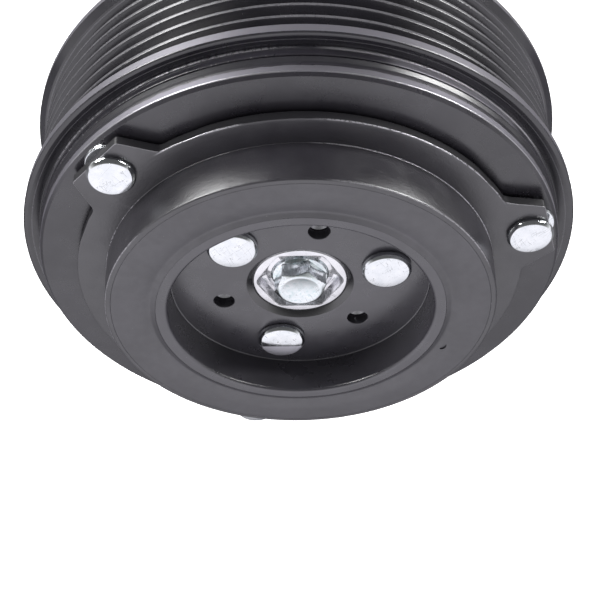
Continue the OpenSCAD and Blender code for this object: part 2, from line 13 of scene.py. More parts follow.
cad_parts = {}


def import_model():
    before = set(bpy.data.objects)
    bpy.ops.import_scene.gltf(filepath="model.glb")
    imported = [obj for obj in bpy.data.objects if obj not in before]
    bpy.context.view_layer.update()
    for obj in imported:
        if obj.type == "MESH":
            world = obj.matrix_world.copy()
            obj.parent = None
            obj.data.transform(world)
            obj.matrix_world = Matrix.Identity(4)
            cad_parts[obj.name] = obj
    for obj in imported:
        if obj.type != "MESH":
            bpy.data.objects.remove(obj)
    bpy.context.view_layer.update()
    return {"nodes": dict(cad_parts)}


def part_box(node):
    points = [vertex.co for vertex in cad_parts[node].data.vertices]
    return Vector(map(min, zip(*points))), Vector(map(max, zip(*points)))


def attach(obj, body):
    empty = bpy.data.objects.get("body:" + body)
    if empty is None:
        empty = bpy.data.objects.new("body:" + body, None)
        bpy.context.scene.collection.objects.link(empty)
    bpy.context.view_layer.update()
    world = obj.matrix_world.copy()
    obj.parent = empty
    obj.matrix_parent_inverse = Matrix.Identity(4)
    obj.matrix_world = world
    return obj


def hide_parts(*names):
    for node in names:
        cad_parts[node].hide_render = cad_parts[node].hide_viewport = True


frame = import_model()

MM = 0.001
ROUND = 360
SEAT = 0.02


def front_of(node):
    """Foremost z of a CAD node in millimetres."""
    return -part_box(node)[0].y / MM


def back_of(node):
    """Rearmost z of a CAD node in millimetres."""
    return -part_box(node)[1].y / MM


def radius_of(node):
    """Outside radius of a round CAD node in millimetres."""
    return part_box(node)[1].x / MM


# ---------- shapes ----------


def placed(x, y, z):
    return Vector((x * MM, -z * MM, y * MM))


class Shape:
    """Vertices in millimetres and faces, collected before they become a mesh."""

    def __init__(self):
        self.verts = []
        self.faces = []

    def add(self, other):
        start = len(self.verts)
        self.verts += other.verts
        self.faces += [tuple(start + i for i in face) for face in other.faces]
        return self

    def moved(self, x=0.0, y=0.0, z=0.0, turn=0.0):
        """A copy turned about the axis by turn degrees, then moved."""
        c, s = math.cos(math.radians(turn)), math.sin(math.radians(turn))
        copy = Shape()
        copy.faces = list(self.faces)
        copy.verts = [(c * a - s * b + x, s * a + c * b + y, d + z) for a, b, d in self.verts]
        return copy


def loft(loops, ring=False):
    """Quads between loops of equally many points; the ends are capped unless ring joins them."""
    shape = Shape()
    n = len(loops[0])
    for loop in loops:
        shape.verts += list(loop)
    pairs = [(k, k + 1) for k in range(len(loops) - 1)]
    if ring:
        pairs.append((len(loops) - 1, 0))
    for a, b in pairs:
        for i in range(n):
            j = (i + 1) % n
            shape.faces.append((a * n + i, a * n + j, b * n + j, b * n + i))
    if not ring:
        shape.faces.append(tuple(reversed(range(n))))
        shape.faces.append(tuple(range((len(loops) - 1) * n, len(loops) * n)))
    return shape


def soften(points, ring=True):
    """A line through (r, z) or (r, z, radius) points, each corner rounded by its radius."""
    line = []
    count = len(points)
    for i, point in enumerate(points):
        x, y = point[0], point[1]
        rad = point[2] if len(point) > 2 else 0.0
        if rad <= 0 or (not ring and i in (0, count - 1)):
            line.append((x, y))
            continue
        p, q = points[i - 1], points[(i + 1) % count]
        ax, ay, bx, by = p[0] - x, p[1] - y, q[0] - x, q[1] - y
        la, lb = math.hypot(ax, ay), math.hypot(bx, by)
        ax, ay, bx, by = ax / la, ay / la, bx / lb, by / lb
        half = math.acos(max(-1, min(1, ax * bx + ay * by))) / 2
        if half > math.radians(88):
            line.append((x, y))
            continue
        reach = min(rad / math.tan(half), 0.48 * la, 0.48 * lb)
        rad = reach * math.tan(half)
        mx, my = ax + bx, ay + by
        lm = math.hypot(mx, my)
        cx, cy = x + mx / lm * rad / math.sin(half), y + my / lm * rad / math.sin(half)
        a0 = math.atan2(y + ay * reach - cy, x + ax * reach - cx)
        sweep = math.atan2(y + by * reach - cy, x + bx * reach - cx) - a0
        sweep = (sweep + math.pi) % (2 * math.pi) - math.pi
        steps = max(2, math.ceil(abs(sweep) / math.radians(15)))
        for k in range(steps + 1):
            a = a0 + sweep * k / steps
            line.append((cx + rad * math.cos(a), cy + rad * math.sin(a)))
    return line


def lathe(profile, n=ROUND, ring=True):
    """Turns an outline of (r, z) about the axis. A profile from axis to axis has ring=False."""
    angles = [2 * math.pi * i / n for i in range(n)]
    loops = []
    for r, z in profile:
        r = max(r, 1e-4)
        loops.append([(r * math.cos(a), r * math.sin(a), z) for a in angles])
    return loft(loops, ring)


def around(shape, count, first=0.0, at=0.0):
    """Copies of a shape at radius at, evenly round the axis from angle first."""
    made = Shape()
    for k in range(count):
        turn = first + 360.0 / count * k
        a = math.radians(turn)
        made.add(shape.moved(at * math.cos(a), at * math.sin(a), 0, turn))
    return made


def prism(outline, z0, z1):
    return loft([[(x, y, z0) for x, y in outline], [(x, y, z1) for x, y in outline]])


def disc(r, n=48):
    return [(r * math.cos(2 * math.pi * i / n), r * math.sin(2 * math.pi * i / n)) for i in range(n)]


def arc_slot(r, w, sweep, z0, z1):
    """A slot along an arc of radius r centred on the X axis, with rounded ends."""
    half = math.radians(sweep / 2)
    pts = []
    for k in range(25):
        a = -half + 2 * half * k / 24
        pts.append(((r + w / 2) * math.cos(a), (r + w / 2) * math.sin(a)))
    for k in range(1, 8):
        b = half + math.pi * k / 8
        pts.append((r * math.cos(half) + w / 2 * math.cos(b), r * math.sin(half) + w / 2 * math.sin(b)))
    for k in range(25):
        a = half - 2 * half * k / 24
        pts.append(((r - w / 2) * math.cos(a), (r - w / 2) * math.sin(a)))
    for k in range(1, 8):
        b = -half + math.pi + math.pi * k / 8
        pts.append((r * math.cos(half) + w / 2 * math.cos(b), -r * math.sin(half) + w / 2 * math.sin(b)))
    return prism(pts, z0, z1)


def mesh_of(name, shape):
    mesh = bpy.data.meshes.new(name)
    mesh.from_pydata([placed(*v) for v in shape.verts], [], shape.faces)
    work = bmesh.new()
    work.from_mesh(mesh)
    bmesh.ops.remove_doubles(work, verts=work.verts, dist=2e-6)
    bmesh.ops.recalc_face_normals(work, faces=work.faces)
    work.to_mesh(mesh)
    work.free()
    return mesh


def thing(name, shape):
    obj = bpy.data.objects.new(name, mesh_of(name, shape))
    bpy.context.scene.collection.objects.link(obj)
    return obj


def evaluated(obj):
    """The object's mesh with its modifiers worked in, and the modifiers dropped."""
    graph = bpy.context.evaluated_depsgraph_get()
    mesh = bpy.data.meshes.new_from_object(obj.evaluated_get(graph))
    obj.modifiers.clear()
    obj.data = mesh


def carve(obj, cutter, operation="DIFFERENCE"):
    """Cuts a shape out of an object."""
    tool = thing("cutter", cutter)
    cut = obj.modifiers.new("cut", "BOOLEAN")
    cut.operation = operation
    cut.solver = "EXACT"
    cut.object = tool
    evaluated(obj)
    bpy.data.objects.remove(tool)
    return obj


def bevelled(obj, width, segments, angle):
    """Rounds the corners that are sharper than angle degrees, width millimetres across."""
    bevel = obj.modifiers.new("edges", "BEVEL")
    bevel.width = width * MM
    bevel.segments = segments
    bevel.limit_method = "ANGLE"
    bevel.angle_limit = math.radians(angle)


def dress(obj, material, angle=32.0):
    """Smooth shading with crisp corners, and one material."""
    mesh = obj.data
    mesh.shade_smooth()
    mesh.set_sharp_from_angle(angle=math.radians(angle))
    even = obj.modifiers.new("even", "WEIGHTED_NORMAL")
    even.keep_sharp = True
    even.weight = 60
    mesh.materials.clear()
    mesh.materials.append(material)
    for polygon in mesh.polygons:
        polygon.material_index = 0
    return obj


def piece(obj, body, material, nodes, angle=32.0):
    dress(obj, material, angle)
    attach(obj, body)
    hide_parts(*nodes)
    return obj


# ---------- materials ----------


class Look:
    """A procedural material. Texture space is millimetres in the piece's own frame."""

    def __init__(self, name, seed=0.0):
        self.mat = bpy.data.materials.new(name)
        self.mat.use_nodes = True
        self.tree = self.mat.node_tree
        self.bsdf = self.tree.nodes["Principled BSDF"]
        self.normal = None
        coords = self.add("TexCoord").outputs["Object"]
        moved = self.add("VectorMath", {0: coords, 1: (1000, 1000, 1000)}, operation="MULTIPLY").outputs[0]
        self.plain = moved
        self.mm = self.add("VectorMath", {0: moved, 1: (seed, seed * 1.7, seed * 0.6)}, operation="ADD").outputs[0]
        split = self.add("SeparateXYZ", {0: moved}).outputs
        self.x, self.y, self.z = split[0], split[1], split[2]
        self.r = self.maths("SQRT", self.maths("ADD", self.maths("MULTIPLY", self.x, self.x),
                                               self.maths("MULTIPLY", self.z, self.z)))
        self.turn = self.maths("ARCTAN2", self.z, self.x)

    def add(self, kind, inputs=None, **props):
        node = self.tree.nodes.new("ShaderNode" + kind)
        for key, value in props.items():
            setattr(node, key, value)
        for key, value in (inputs or {}).items():
            if isinstance(value, bpy.types.NodeSocket):
                self.tree.links.new(value, node.inputs[key])
            else:
                node.inputs[key].default_value = value
        return node

    def maths(self, operation, a, b=0.0, clamp=False):
        return self.add("Math", {0: a, 1: b}, operation=operation, use_clamp=clamp).outputs[0]

    def spread(self, value, low, high, out_low=0.0, out_high=1.0):
        """Smooth step of value from low..high to out_low..out_high."""
        return self.add("MapRange", {"Value": value, "From Min": low, "From Max": high, "To Min": out_low,
                                     "To Max": out_high}, interpolation_type="SMOOTHSTEP").outputs[0]

    def noise(self, per_mm, detail=3.0, rough=0.55, vector=None):
        return self.add("TexNoise", {"Vector": vector or self.mm, "Scale": per_mm, "Detail": detail,
                                     "Roughness": rough}).outputs["Fac"]

    def turned(self, across):
        """Fine lines round the axis, as a lathe tool leaves them."""
        swing = self.maths("MULTIPLY", self.turn, 0.6)
        lines = self.add("CombineXYZ", {0: self.maths("MULTIPLY", self.r, across),
                                        1: self.maths("MULTIPLY", self.y, across), 2: swing}).outputs[0]
        return self.noise(1.0, 2.0, 0.6, lines)

    def mix(self, fac, a, b):
        node = self.add("Mix", data_type="RGBA")
        for socket, value in ((node.inputs[0], fac), (node.inputs[6], a), (node.inputs[7], b)):
            if isinstance(value, bpy.types.NodeSocket):
                self.tree.links.new(value, socket)
            elif isinstance(value, (int, float)):
                socket.default_value = value
            else:
                socket.default_value = (*value, 1.0)
        return node.outputs[2]

    def blend(self, fac, a, b):
        """Mix of two numbers."""
        node = self.add("Mix", {0: fac, 2: a, 3: b}, data_type="FLOAT")
        return node.outputs[0]

    def specks(self, per_mm, size, share):
        """Small separate dots: about share of the cells hold one."""
        cells = self.add("TexVoronoi", {"Vector": self.mm, "Scale": per_mm})
        lucky = self.maths("GREATER_THAN", self.add("SeparateColor", {0: cells.outputs["Color"]}).outputs[0],
                           1.0 - share)
        near = self.maths("LESS_THAN", cells.outputs["Distance"], size * per_mm)
        return self.maths("MULTIPLY", lucky, near)

    def edges(self, width):
        """1 along sharp edges, fading over width millimetres."""
        soft = self.add("Bevel", {"Radius": width * MM}, samples=6).outputs[0]
        true = self.add("NewGeometry").outputs["Normal"]
        off = self.maths("SUBTRACT", 1.0, self.add("VectorMath", {0: soft, 1: true},
                                                   operation="DOT_PRODUCT").outputs["Value"])
        return self.spread(off, 0.02, 0.18)

    def line_at(self, r, z, width):
        """1 on a thin line round the axis at radius r and height z."""
        off = self.maths("SQRT", self.maths("ADD", self.maths("POWER", self.maths("SUBTRACT", self.r, r), 2.0),
                                            self.maths("POWER", self.maths("ADD", self.y, z), 2.0)))
        return self.spread(off, width * 0.5, width, 1.0, 0.0)

    def facing(self, middle, reach):
        """1 round the axis within reach degrees of angle middle, fading out beyond it."""
        off = self.maths("COSINE", self.maths("SUBTRACT", self.turn, math.radians(middle)))
        return self.spread(off, math.cos(math.radians(reach * 1.5)), math.cos(math.radians(reach)))

    def hairs(self, per_mm, thin, turn):
        """Long thin scratches that run roughly one way across the front."""
        c, s = math.cos(math.radians(turn)), math.sin(math.radians(turn))
        across = self.maths("ADD", self.maths("MULTIPLY", self.x, c * per_mm),
                            self.maths("MULTIPLY", self.z, s * per_mm))
        along = self.maths("ADD", self.maths("MULTIPLY", self.x, -s * per_mm * 0.14),
                           self.maths("MULTIPLY", self.z, c * per_mm * 0.14))
        way = self.add("CombineXYZ", {0: across, 1: self.maths("MULTIPLY", self.y, per_mm), 2: along}).outputs[0]
        off = self.maths("ABSOLUTE", self.maths("SUBTRACT", self.noise(1.0, 1.0, 0.5, way), 0.5))
        kept = self.spread(self.noise(0.5, 2.0), 0.45, 0.6)
        return self.maths("MULTIPLY", self.spread(off, 0.0, thin, 1.0, 0.0), kept)

    def bump(self, height, depth):
        """Adds relief of depth millimetres."""
        inputs = {"Height": height, "Distance": depth * MM, "Strength": 1.0}
        if self.normal is not None:
            inputs["Normal"] = self.normal
        self.normal = self.add("Bump", inputs).outputs[0]

    def set(self, name, value):
        socket = self.bsdf.inputs[name]
        if isinstance(value, bpy.types.NodeSocket):
            self.tree.links.new(value, socket)
        elif isinstance(value, (int, float)):
            socket.default_value = value
        else:
            socket.default_value = (*value, 1.0)

    def done(self, color, rough, metal=0.0, **extra):
        self.set("Base Color", color)
        self.set("Roughness", rough)
        self.set("Metallic", metal)
        for name, value in extra.items():
            self.set(name.replace("_", " "), value)
        if self.normal is not None:
            self.tree.links.new(self.normal, self.bsdf.inputs["Normal"])
        return self.mat


DUST = (0.42, 0.41, 0.40)
SCRATCH = 0.004


def paint(name, seed, dark=(0.0165, 0.0150, 0.0200), light=(0.031, 0.029, 0.037), rough=(0.25, 0.34),
          peel=0.004, wear=0.5, dust=0.05, lines=0.0, bare=None, rubbed_and_highlight_lines=(), gloss=1.56, sheared_and_painted_shade=None,
          crests=0.0, steel=((0.19, 0.185, 0.21), (0.25, 0.24, 0.27), 0.55, 0.9), chipped=None):
    """Satin black coating on steel, with bright edges from wear and settled dust. Bare lines can be kept to arcs
    where highlights show, as wear and painted highlight; zones can be darkened, as a cut edge's finish or as painted
    shade; and bare steel can stand where a sheen shows, as painted sheen.
    """
    m = Look(name, seed)
    blotch = m.noise(0.055, 4.0, 0.6)
    color = m.mix(m.spread(blotch, 0.3, 0.7), dark, light)
    roughness = m.spread(m.noise(0.16, 4.0), 0.3, 0.7, *rough)
    film = m.noise(1.6, 2.0)
    m.bump(film, peel)
    m.bump(m.noise(7.0, 3.0, 0.7), peel * 0.5)
    if lines:
        m.bump(m.turned(7.0), lines)
    # Darkens a zone toward near black: on the lobed plate's cut side this is the cut finish, on the armature's rear
    # and the boss bevel it is painted shade.
    if sheared_and_painted_shade is not None:
        zone, rough_there, shine, shade = sheared_and_painted_shade
        cut = zone(m)
        color = m.mix(m.maths("MULTIPLY", cut, shade), color, (0.009, 0.0085, 0.011))
        roughness = m.blend(cut, roughness, rough_there)
        m.set("Specular IOR Level", m.blend(cut, 0.5, shine))
    metal = 0.0
    # Bare steel: rims and bands bare from wear, and on the rotor's side at the upper right a painted sheen.
    if bare is not None:
        mask = bare(m)
        low, high, rough_bare, metal_bare = steel
        color = m.mix(mask, color, m.mix(m.turned(5.0), low, high))
        roughness = m.blend(mask, roughness, rough_bare)
        metal = m.maths("MULTIPLY", mask, metal_bare)
    wear_and_highlight = None
    if wear:
        wear_and_highlight = m.maths("MULTIPLY", m.edges(0.3), m.spread(m.noise(0.9, 4.0, 0.7), 0.62 - 0.3 * wear, 0.72))
    if crests:
        tips = m.maths("MULTIPLY", m.maths("GREATER_THAN", m.r, crests - 0.02),
                       m.maths("LESS_THAN", m.r, crests + 0.2))
        patchy = m.spread(m.noise(1.7, 5.0, 0.8), 0.35, 0.5, 0.06, 0.2)
        wear_and_highlight = m.maths("MAXIMUM", wear_and_highlight, m.maths("MULTIPLY", tips, patchy))
    if chipped is not None:
        zone, share = chipped
        wear_and_highlight = m.maths("MAXIMUM", wear_and_highlight, m.maths("MULTIPLY", zone(m), share))
    # Lines of bare metal, each kept to the arc given by its last two numbers where highlights show: part wear, part
    # painted highlight.
    for r, z, width, share, *arc in rubbed_and_highlight_lines:
        patchy = m.spread(m.noise(1.7, 5.0, 0.8), 0.66 - 0.4 * share, 0.76 - 0.3 * share)
        line = m.maths("MULTIPLY", m.line_at(r, z, width), patchy)
        if arc:
            line = m.maths("MULTIPLY", line, m.facing(*arc))
        wear_and_highlight = line if wear_and_highlight is None else m.maths("MAXIMUM", wear_and_highlight, line)
    if wear_and_highlight is not None:
        color = m.mix(wear_and_highlight, color, (0.50, 0.49, 0.52))
        metal = m.maths("MAXIMUM", metal, m.maths("MULTIPLY", wear_and_highlight, 0.85))
        roughness = m.blend(wear_and_highlight, roughness, 0.3)
    if dust:
        spots = m.maths("ADD", m.specks(0.35, 0.085, dust), m.specks(1.1, 0.04, dust), clamp=True)
        color = m.mix(m.maths("MULTIPLY", spots, 0.6), color, DUST)
        roughness = m.blend(spots, roughness, 0.7)
    return m.done(color, roughness, metal, IOR=gloss)


def armature_side(m):
    """Smooth bare band on the front half of the armature's rim, with a ragged rear edge."""
    wave = m.noise(0.5, 4.0, 0.65, m.add("CombineXYZ", {0: m.maths("MULTIPLY", m.turn, 28.0)}).outputs[0])
    edge = m.maths("ADD", -armature_front + 1.85, m.maths("MULTIPLY", wave, 0.9))
    ahead = m.maths("LESS_THAN", m.y, edge)
    outside = m.maths("GREATER_THAN", m.r, band_r - 0.12)
    return m.maths("MULTIPLY", ahead, outside)


def armature_rear(m):
    """The painted rear part of the armature's rim everywhere but the upper right, darkened a little as painted shade
    and made rougher, so a glint shows only to the upper right.
    """
    behind = m.maths("GREATER_THAN", m.y, -armature_back - 1.65)
    outside = m.maths("GREATER_THAN", m.r, band_r - 0.12)
    painted_dark_zone = m.maths("SUBTRACT", 1.0, m.facing(56.0, 13.0))
    return m.maths("MULTIPLY", m.maths("MULTIPLY", behind, outside), painted_dark_zone)


def lobes(m):
    """The rounded front edge of the lobed plate's three lobes."""
    level = m.maths("ABSOLUTE", m.add("SeparateXYZ", {0: m.add("NewGeometry").outputs["Normal"]}).outputs[1])
    rounded = m.maths("MULTIPLY", m.maths("GREATER_THAN", level, 0.3), m.maths("LESS_THAN", level, 0.95))
    ahead = m.maths("LESS_THAN", m.y, -lobed_front + 0.5)
    return m.maths("MULTIPLY", m.maths("MULTIPLY", rounded, ahead), m.maths("GREATER_THAN", m.r, lobed_r + 0.3))


def plate_side(m):
    """The outer side of the lobed plate, left by the shearing cut."""
    level = m.maths("ABSOLUTE", m.add("SeparateXYZ", {0: m.add("NewGeometry").outputs["Normal"]}).outputs[1])
    return m.maths("MULTIPLY", m.maths("LESS_THAN", level, 0.5), m.maths("GREATER_THAN", m.r, lobed_r - 1.2))


def boss_bevel(m):
    """The bevel of the cup's floor around the boss, darkened as painted shade."""
    return m.maths("MULTIPLY", m.maths("LESS_THAN", m.r, boss_r + 1.38), m.maths("LESS_THAN", m.y, -floor_z + 1.2))


def flange_rim(m):
    """The outer rims of the pulley's two flanges, bare from wear."""
    return m.maths("GREATER_THAN", m.r, pulley_r - 0.03)


def friction_face(m):
    """Ground steel where the armature lands on the rotor, and bare steel on the rotor's side at the upper right as a
    painted sheen.
    """
    front = m.maths("LESS_THAN", m.y, -rotor_front + 0.05)
    ring = m.maths("MULTIPLY", m.maths("GREATER_THAN", m.r, 27.5), m.maths("LESS_THAN", m.r, 55.6))
    side = m.maths("MULTIPLY", m.maths("GREATER_THAN", m.r, rotor_r - 0.05), m.facing(56.0, 12.0))
    painted_side_sheen = m.maths("MULTIPLY", side, m.maths("LESS_THAN", m.y, -pulley_front - 0.1))
    return m.maths("MAXIMUM", m.maths("MULTIPLY", front, ring), m.maths("MULTIPLY", painted_side_sheen, 0.75))


def plated(name, seed, dark, light, rough=(0.12, 0.3), pits=0.15, lines=0.0, tint=None, hair=0.0,
           painted_reflection_below=None):
    """Bright plated or machined steel with scratches and small pits; below an optional height it is lilac grey, a
    painted reflection.
    """
    m = Look(name, seed)
    color = m.mix(m.spread(m.noise(0.35, 5.0, 0.65), 0.3, 0.7), dark, light)
    roughness = m.spread(m.noise(0.8, 5.0, 0.7), 0.3, 0.75, *rough)
    stretched = m.add("VectorMath", {0: m.mm, 1: (0.35, 1.0, 2.6)}, operation="MULTIPLY").outputs[0]
    m.bump(m.noise(1.2, 6.0, 0.75, stretched), SCRATCH)
    m.bump(m.noise(3.5, 3.0), SCRATCH * 0.6)
    if lines:
        m.bump(m.turned(9.0), lines)
    if hair:
        thin = m.maths("MAXIMUM", m.hairs(0.7, hair, 25.0), m.hairs(0.9, hair, -40.0))
        color = m.mix(m.maths("MULTIPLY", thin, 0.55), color, (0.30, 0.32, 0.33))
        m.bump(thin, -0.006)
    if pits:
        spots = m.maths("ADD", m.specks(1.3, 0.09, pits), m.specks(3.0, 0.045, pits), clamp=True)
        m.bump(spots, -0.02)
        color = m.mix(m.maths("MULTIPLY", spots, 0.75), color, (0.12, 0.13, 0.13))
        roughness = m.blend(spots, roughness, 0.5)
    if tint:
        color = m.mix(m.spread(m.noise(0.9, 3.0), 0.5, 0.75), color, tint)
    # Painted reflection: below the given height the steel turns lilac grey and rougher, standing for the cup's wall
    # mirrored there.
    if painted_reflection_below is not None:
        painted_dark_zone = m.maths("LESS_THAN", m.z, painted_reflection_below)
        color = m.mix(painted_dark_zone, color, (0.70, 0.69, 0.74))
        roughness = m.blend(painted_dark_zone, roughness, 0.45)
    return m.done(color, roughness, 1.0)


def moulded(name, seed, dark, light, rough=(0.5, 0.7), grain=1.5, relief=0.02, dust=0.0, lines=0.0,
            coat=0.0, gloss=1.5):
    """Plastic, rubber or resin with a moulded grain."""
    m = Look(name, seed)
    color = m.mix(m.spread(m.noise(0.09, 5.0, 0.65), 0.3, 0.7), dark, light)
    fine = m.noise(grain, 4.0, 0.7)
    color = m.mix(m.spread(fine, 0.45, 0.8, 0.0, 0.35), color, light)
    roughness = m.spread(m.noise(grain * 0.5, 3.0), 0.3, 0.7, *rough)
    m.bump(fine, relief)
    m.bump(m.noise(grain * 5.0, 2.0), relief * 0.3)
    if lines:
        m.bump(m.turned(3.0), lines)
    if dust:
        spots = m.maths("ADD", m.specks(0.4, 0.09, dust), m.specks(1.3, 0.05, dust), clamp=True)
        color = m.mix(m.maths("MULTIPLY", spots, 0.5), color, DUST)
    return m.done(color, roughness, 0.0, Coat_Weight=coat, IOR=gloss)


def wound(name):
    """Enamelled copper wire, wound in layers."""
    m = Look(name, 3.0)
    step = m.maths("SINE", m.maths("MULTIPLY", m.maths("ADD", m.r, m.y), 2 * math.pi / 0.7))
    color = m.mix(m.noise(0.3, 4.0), (0.42, 0.13, 0.05), (0.72, 0.30, 0.12))
    m.bump(m.maths("ABSOLUTE", step), 0.15)
    return m.done(color, m.spread(m.noise(1.0), 0.3, 0.7, 0.2, 0.35), 0.9, Coat_Weight=0.5)


# ---------- sizes taken from the frame ----------

pulley_r = radius_of("pulley_rim")
pulley_back = back_of("pulley_rim")
pulley_front = front_of("pulley_rim")
step_z = pulley_front - 0.5
rotor_front = front_of("rotor_body")
rotor_r = radius_of("rotor_body")
armature_r = radius_of("armature_plate")
armature_back = back_of("armature_plate")
armature_front = front_of("armature_plate")
lobed_back = back_of("lobed_plate")
collar_end = front_of("lobed_plate")
rubber_back = back_of("damper_rubber")
cup_r = radius_of("inner_cup")
cup_back = back_of("inner_cup")
cup_lip = front_of("inner_cup")
boss_end = front_of("hub_boss")
boss_back = back_of("hub_boss")
flange_r = radius_of("hub_boss")
bolt_top = front_of("hub_bolt")
bolt_back = back_of("hub_bolt")
head_top = front_of("armature_rivets")
hub_head_top = front_of("hub_rivets")

groove_pitch = 3.56
groove_centre = 19.27
groove_count = 7
groove_depth = 2.9
groove_half = 1.34
groove_slope = math.tan(math.radians(20))
crest_r = 58.1
root_r = 55.2
wall_r = 52.8
flange_bevel = 1.3
flange_run = 1.5
lobed_front = lobed_back + 2.1
collar_r = 41.5
collar_in_r = 40.0
cup_wall = 2.6
cup_in_r = cup_r - cup_wall
floor_z = cup_back + 2.5
lobed_r = 47.6
rivet_angle = 17.2
lobe_rivet_at = 49.8
hub_rivet_at = 19.2
puller_at = 17.5
puller_r = 2.2
shank_r = 3.0
lobe_head_r = 4.85
hub_head_r = 5.3
edge_cut = 0.7
band_r = armature_r - 0.42
boss_r = 10.2
pocket_z = boss_end - 3.1
flange_front = cup_back - SEAT
flange_back = flange_front - 3.0

BLACK_LOW, BLACK_HIGH = (0.018, 0.0165, 0.0215), (0.032, 0.030, 0.037)
ZINC_LOW, ZINC_HIGH, ZINC_ROUGH = (0.81, 0.84, 0.86), (0.92, 0.94, 0.95), (0.05, 0.13)
groove_paint = paint("groove paint", 5.0, (0.015, 0.014, 0.018), (0.028, 0.0265, 0.033), rough=(0.20, 0.28), wear=0.2,
                     lines=0.0015, dust=0.02, gloss=1.78, bare=flange_rim, crests=crest_r,
                     steel=((0.13, 0.125, 0.145), (0.18, 0.172, 0.198), 0.45, 0.45))
lobed_paint = paint("lobed plate paint", 23.0, BLACK_LOW, BLACK_HIGH, rough=(0.29, 0.38), peel=0.03,
                    wear=0.3, dust=0.06, gloss=2.0,
                    sheared_and_painted_shade=(plate_side, 0.5, 0.2, 1.0), chipped=(lobes, 0.55),
                    # Bare lines on the collar's edges and the plate's front edge, each kept to the arc where
                    # highlights show: wear and painted highlight.
                    rubbed_and_highlight_lines=[(collar_r - 0.3, collar_end, 0.3, 0.7, 168, 20),
                            (collar_r - 0.3, collar_end, 0.3, 0.8, 52, 22),
                            (lobed_r - 0.05, lobed_front - 0.05, 0.22, 0.9, 114.5, 8),
                            (lobed_r - 0.05, lobed_front - 0.05, 0.22, 0.7, 58, 20),
                            (collar_r + 0.06, lobed_front + 0.06, 0.16, 0.8, 50, 26),
                            (collar_r + 0.06, lobed_front + 0.06, 0.14, 0.5, 178, 30)])
# The cup's black paint is lighter than the other black paint: painted light on the cup's floor and wall.
cup_paint = paint("cup paint", 31.0, (0.033, 0.031, 0.039), (0.051, 0.048, 0.059), wear=0.1, dust=0.06,
                  gloss=2.0, sheared_and_painted_shade=(boss_bevel, 0.2, 0.5, 1.0))
armature_paint = paint("armature paint", 41.0, BLACK_LOW, BLACK_HIGH, rough=(0.25, 0.34),
                       wear=0.1, dust=0.05, bare=armature_side, gloss=1.80, sheared_and_painted_shade=(armature_rear, 0.5, 0.2, 0.3),
                       # Bare lines on the armature's front edge, kept to the upper-left and upper-right arcs where
                       # highlights show: wear and painted highlight.
                       rubbed_and_highlight_lines=[(band_r, armature_front - edge_cut, 0.22, 1.0, 118, 20),
                               (band_r, armature_front - edge_cut, 0.22, 1.0, 52, 24)])
rotor_paint = paint("rotor paint", 53.0, wear=0.3, bare=friction_face, gloss=1.66,
                    # Bare lines on the rotor's step and front edge, kept to the upper-right and upper-left arcs where
                    # highlights show: wear and painted highlight.
                    rubbed_and_highlight_lines=[(rotor_r + 0.3, step_z + 0.35, 0.36, 1.0, 58, 20),
                            (rotor_r + 0.3, step_z + 0.35, 0.3, 0.6, 122, 22),
                            (rotor_r, rotor_front - 0.1, 0.2, 0.3, 125, 22)])
zinc = plated("zinc", 7.0, ZINC_LOW, ZINC_HIGH, rough=ZINC_ROUGH, hair=0.012, pits=0.1)
# The lower part of the bottom cup rivet carries a painted reflection of the cup's wall.
cup_zinc = plated("cup rivet zinc", 11.0, ZINC_LOW, ZINC_HIGH, rough=ZINC_ROUGH, hair=0.012, pits=0.1,
                  painted_reflection_below=-19.8)
bolt_zinc = plated("bolt zinc", 17.0, (0.76, 0.82, 0.83), (0.93, 0.96, 0.97), rough=(0.06, 0.16), pits=0.05,
                   tint=(0.66, 0.78, 0.79), hair=0.008)
turned_steel = plated("turned steel", 19.0, (0.50, 0.50, 0.53), (0.70, 0.70, 0.73), rough=(0.18, 0.34), lines=0.006,
                      pits=0.1)
rubber = moulded("damper rubber", 29.0, (0.028, 0.026, 0.033), (0.046, 0.0435, 0.053), rough=(0.33, 0.42), grain=1.2,
                 relief=0.006, dust=0.05, lines=0.004, gloss=1.98)

# ---------- pulley ----------


def pulley_profile():
    bottom = groove_half - groove_depth * groove_slope
    run = (pulley_r - flange_bevel - root_r) * groove_slope
    first = groove_centre - (groove_count - 1) / 2 * groove_pitch
    line = [(wall_r, pulley_back, 0.3), (pulley_r, pulley_back, 0.45),
            (pulley_r, first - bottom - run - flange_run, 0.25),
            (pulley_r - flange_bevel, first - bottom - run, 0.4)]
    for i in range(groove_count):
        z = first + i * groove_pitch
        if i:
            line.append((crest_r, z - groove_half, 0.3))
        line += [(root_r, z - bottom, 0.22), (root_r, z + bottom, 0.22)]
        if i < groove_count - 1:
            line.append((crest_r, z + groove_half, 0.3))
    last = groove_centre + (groove_count - 1) / 2 * groove_pitch + bottom + run
    line += [(pulley_r - flange_bevel, last, 0.4), (pulley_r, last + flange_run, 0.25),
             (pulley_r, pulley_front - 0.1, 0.7), (pulley_r - 0.9, pulley_front, 0.5),
             (56.6, pulley_front - 0.5, 0.2), (wall_r, pulley_front - 0.5, 0.2)]
    return line


pulley = thing("pulley", lathe(soften(pulley_profile())))
piece(pulley, "rotor", groove_paint, ["pulley_rim"])

# ---------- rotor ----------

